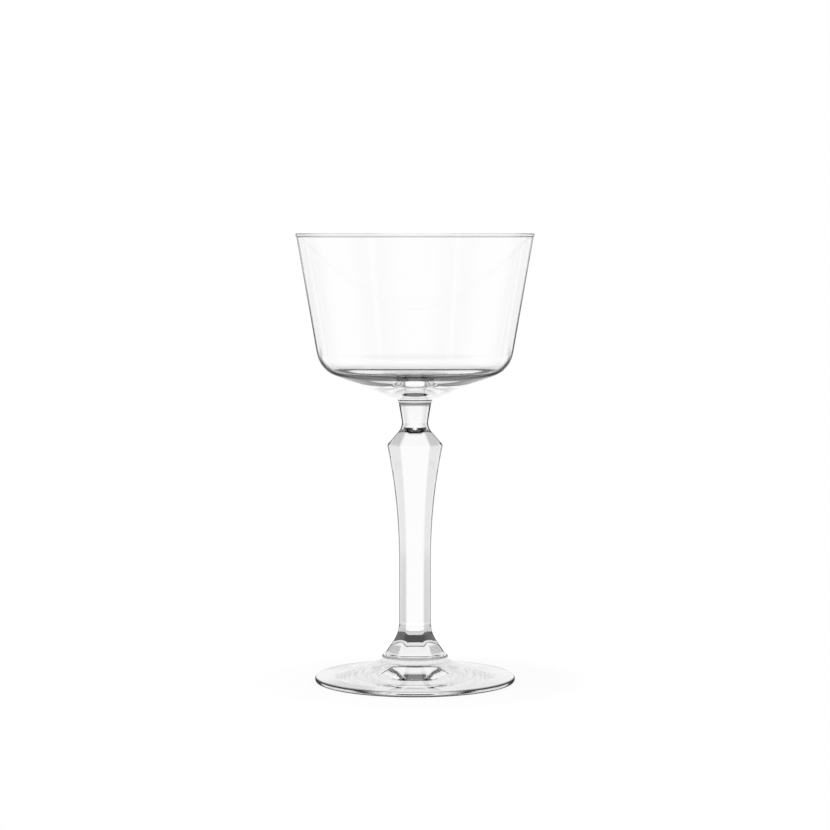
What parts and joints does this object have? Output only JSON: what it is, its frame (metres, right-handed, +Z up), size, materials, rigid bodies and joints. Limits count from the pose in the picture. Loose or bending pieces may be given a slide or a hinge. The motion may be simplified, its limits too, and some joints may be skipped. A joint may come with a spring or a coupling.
{
  "type": "coupe glass",
  "caption": "Stemmed coupe glass with a straight tapered bowl, a beaded rim, a faceted stem that widens to a shoulder, and a round swept foot. It holds a drink and stands on its foot.",
  "frame": {"origin": "on the table, under the centre of the foot", "axes": "+Z up along the axis of the glass, -Y towards the viewer, with one flat side of the stem facing -Y"},
  "size_m": [0.0848, 0.0848, 0.16],
  "materials": {
    "bowl_glass": "fire-polished clear glass",
    "stem_glass": "pressed and fire-polished clear glass",
    "foot_glass": "pressed and fire-polished clear glass"
  },
  "bodies": {
    "root": {"bowl": "bowl_glass", "stem": "stem_glass", "foot": "foot_glass"}
  },
  "joints": []
}
